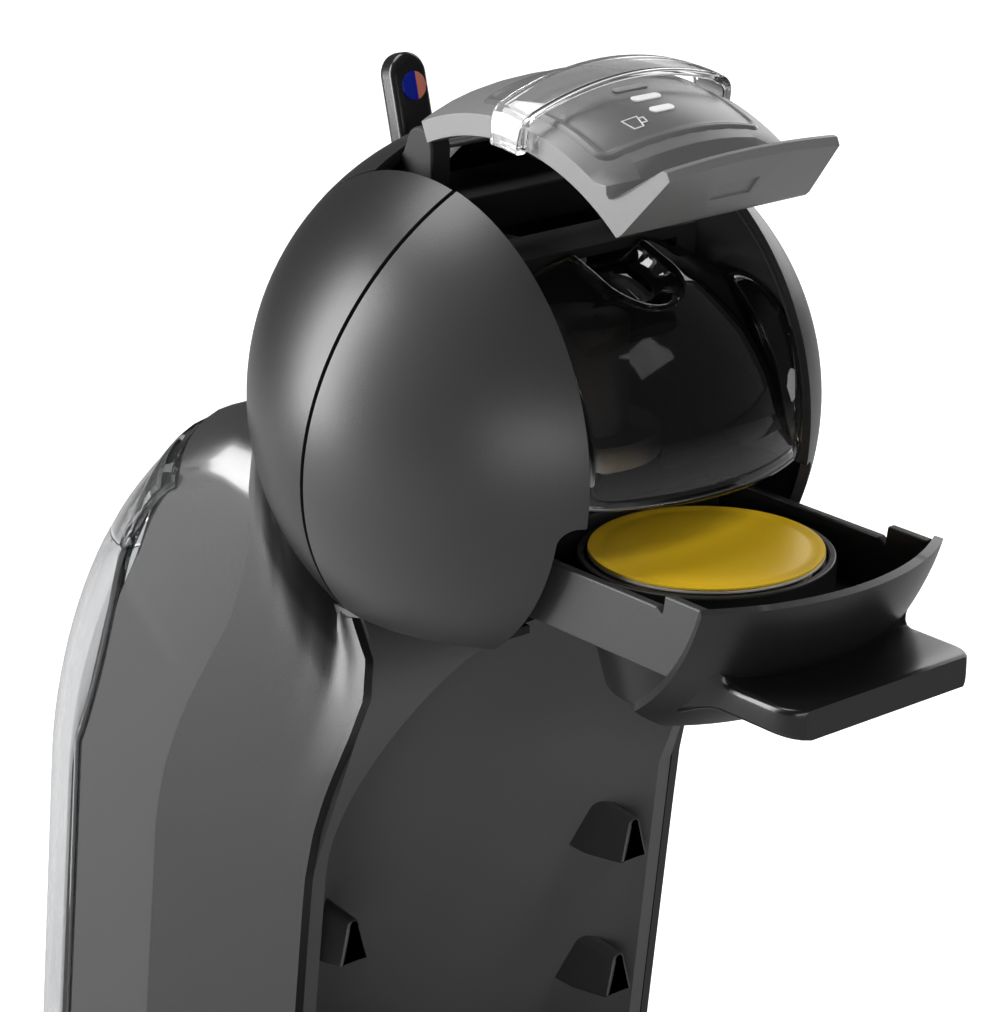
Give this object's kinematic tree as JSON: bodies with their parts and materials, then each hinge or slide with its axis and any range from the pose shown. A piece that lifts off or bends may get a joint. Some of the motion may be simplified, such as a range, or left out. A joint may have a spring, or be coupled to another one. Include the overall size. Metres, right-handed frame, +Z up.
{
  "type": "pod coffee machine",
  "caption": "Pod coffee machine with a round brewing head on a leaning column, locking arm, pod drawer, drip tray and lift-off water tank.",
  "frame": {"origin": "on the table under the middle of the machine, at the middle of its box", "axes": "+Z up, the drawer and the cup side face -Y, +X is to the right seen from the front"},
  "size_m": [0.136, 0.282, 0.3187],
  "materials": {
    "shell": "satin moulded plastic",
    "cap": "satin anthracite plastic",
    "gloss_black": "polished black plastic",
    "dark_trim": "fine-textured black plastic",
    "column": "satin grey plastic",
    "smoked": "smoked clear plastic",
    "clear": "clear plastic",
    "arm_grey": "satin metallic grey plastic",
    "light": "translucent white lens",
    "steel": "brushed steel",
    "bright_steel": "polished steel",
    "rubber": "matt rubber",
    "red_rubber": "silicone rubber",
    "hose": "silicone rubber",
    "aluminium": "cast aluminium",
    "board": "lacquered circuit board",
    "valve": "moulded nylon",
    "badge": "two-colour enamel",
    "pod": "moulded plastic",
    "foil": "lacquered yellow foil",
    "button": "satin silver plastic"
  },
  "bodies": {
    "machine": {"foot_base": "dark_trim", "bottom_plate": "dark_trim", "rubber_feet": "rubber", "base_screws": "steel", "column_front": "column", "tray_hooks": "dark_trim", "side_shell_left": "shell", "side_shell_right": "shell", "rear_housing": "gloss_black", "head_cap_left": "cap", "head_cap_right": "cap", "head_floor": "dark_trim", "top_cover": "shell", "visor": "smoked", "latch_pocket": "dark_trim", "hinge_block": "dark_trim", "hinge_pin": "bright_steel", "drawer_rails": "dark_trim", "brew_frame": "dark_trim", "brew_hose": "hose", "thermoblock": "aluminium", "pump": "steel", "pump_mounts": "rubber", "pump_hose": "hose", "inlet_hose": "hose", "control_board": "board", "selector_valve": "valve", "tank_seat": "dark_trim", "tank_seal": "red_rubber", "cord_gland": "rubber"},
    "locking_arm_body": {"locking_arm": "arm_grey", "arm_panel": "arm_grey", "light_bars": "light", "arm_latch": "steel"},
    "collar_body": {"volume_collar": "clear"},
    "injector_body": {"injector": "aluminium", "needle": "bright_steel"},
    "lever_body": {"temperature_lever": "gloss_black", "lever_badge": "badge"},
    "drawer_body": {"pod_drawer": "dark_trim", "drawer_fascia": "dark_trim", "drawer_handle": "gloss_black", "pod_cup": "pod", "pod_lid": "foil"},
    "tray_body": {"drip_tray": "dark_trim"},
    "grid_body": {"cup_grid": "steel"},
    "tank_body": {"water_tank": "clear"},
    "tank_lid_body": {"tank_lid": "smoked"},
    "tank_valve_body": {"tank_valve": "pod"},
    "button_body": {"power_button": "button"}
  },
  "joints": [
    {"name": "arm_hinge", "type": "hinge", "parent": "machine", "child": "locking_arm_body", "pos_m": [0, -0.007, 0.296], "axis": [-1, 0, 0], "range_deg": [-20, 10]},
    {"name": "injector_slide", "type": "slide", "parent": "machine", "child": "injector_body", "axis": [0, 0, 1], "range_m": [-0.0071, 0.0036]},
    {"name": "collar_slide", "type": "hinge", "parent": "locking_arm_body", "child": "collar_body", "pos_m": [0, -0.03755, 0.24117], "axis": [1, 0, 0], "range_deg": [-8, 8]},
    {"name": "lever_swing", "type": "hinge", "parent": "machine", "child": "lever_body", "pos_m": [0, 0.0275, 0.266], "axis": [0, 1, 0], "range_deg": [-15, 15]},
    {"name": "drawer_slide", "type": "slide", "parent": "machine", "child": "drawer_body", "axis": [0, -1, 0], "range_m": [-0.045, 0.075]},
    {"name": "tray_slide", "type": "slide", "parent": "machine", "child": "tray_body", "axis": [0, -1, 0], "range_m": [0, 0.12]},
    {"name": "grid_lift", "type": "slide", "parent": "tray_body", "child": "grid_body", "axis": [0, 0, 1], "range_m": [0, 0.03]},
    {"name": "tank_lift", "type": "slide", "parent": "machine", "child": "tank_body", "axis": [0, 0, 1], "range_m": [0, 0.12]},
    {"name": "tank_lid_hinge", "type": "hinge", "parent": "tank_body", "child": "tank_lid_body", "pos_m": [0, 0.1, 0.1822], "axis": [-1, 0, 0], "range_deg": [0, 80]},
    {"name": "valve_plunger", "type": "slide", "parent": "tank_body", "child": "tank_valve_body", "axis": [0, 0, 1], "range_m": [0, 0.003], "stiffness_N_per_m": 100, "springref_m": -0.001},
    {"name": "power_press", "type": "slide", "parent": "machine", "child": "button_body", "axis": [-1, 0, 0], "range_m": [0, 0.0015], "stiffness_N_per_m": 300, "springref_m": -0.0005}
  ],
  "couplings": [
    {"joint": "injector_slide", "follows": "arm_hinge", "m_per_rad": 0.02}
  ]
}
